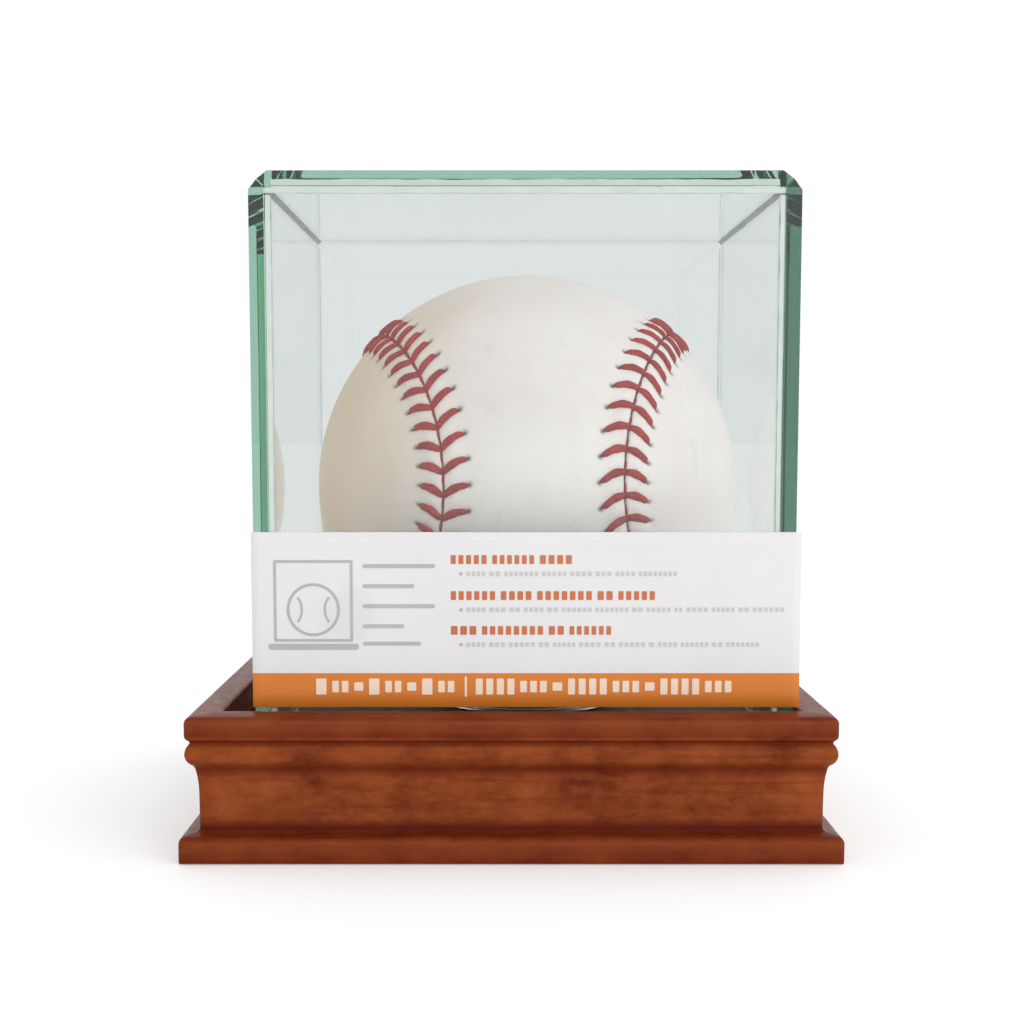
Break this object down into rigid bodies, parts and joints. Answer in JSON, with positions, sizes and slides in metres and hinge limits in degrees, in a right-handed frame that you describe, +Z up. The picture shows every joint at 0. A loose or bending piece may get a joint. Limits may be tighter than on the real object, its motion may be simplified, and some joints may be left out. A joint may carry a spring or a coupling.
{
  "type": "shadow box",
  "caption": "Square glass display case for a baseball: lift-off bevelled glass cover on a stained, moulded wooden base, with a card label and a stitched ball on its ring.",
  "frame": {"origin": "centre of the base's underside, on the surface it stands on", "axes": "+Z up, -Y towards the front with the printed label, +X to the right"},
  "size_m": [0.1016, 0.1016, 0.1049],
  "materials": {
    "stained_wood": "cherry stain under satin lacquer",
    "fibreboard": "raw fibreboard",
    "black_felt": "pressed felt",
    "nail_steel": "plain steel",
    "float_glass": "clear float glass with a green edge, polished bevels",
    "clear_adhesive": "cured clear adhesive, slightly grey",
    "printed_card": "coated white card with an orange printed stripe",
    "wound_yarn": "wound wool and cotton",
    "ball_leather": "smooth off-white leather",
    "red_thread": "waxed cotton thread",
    "clear_plastic": "clear moulded plastic"
  },
  "bodies": {
    "base": {"front_moulding": "stained_wood", "right_moulding": "stained_wood", "back_moulding": "stained_wood", "left_moulding": "stained_wood", "base_board": "fibreboard", "bottom_panel": "fibreboard", "floor_liner": "black_felt", "underside_felt": "black_felt", "v_nail_front_left": "nail_steel", "v_nail_front_right": "nail_steel", "v_nail_back_right": "nail_steel", "v_nail_back_left": "nail_steel", "ball_ring": "clear_plastic"},
    "cover": {"front_pane": "float_glass", "right_pane": "float_glass", "back_pane": "float_glass", "left_pane": "float_glass", "top_pane": "float_glass", "top_bead_front": "clear_adhesive", "top_bead_right": "clear_adhesive", "top_bead_back": "clear_adhesive", "top_bead_left": "clear_adhesive", "corner_bead_front_left": "clear_adhesive", "corner_bead_front_right": "clear_adhesive", "corner_bead_back_right": "clear_adhesive", "corner_bead_back_left": "clear_adhesive", "label_card": "printed_card"},
    "ball": {"ball_core": "wound_yarn", "ball_panel_a": "ball_leather", "ball_panel_b": "ball_leather", "seam_thread": "red_thread"}
  },
  "joints": [
    {"name": "cover_lift", "type": "slide", "parent": "base", "child": "cover", "axis": [0, 0, 1], "range_m": [0, 0.095]},
    {"name": "ball_turn", "type": "hinge", "parent": "base", "child": "ball", "pos_m": [0.003, 0.001, 0.0557], "axis": [0, 0, 1], "continuous": true}
  ]
}
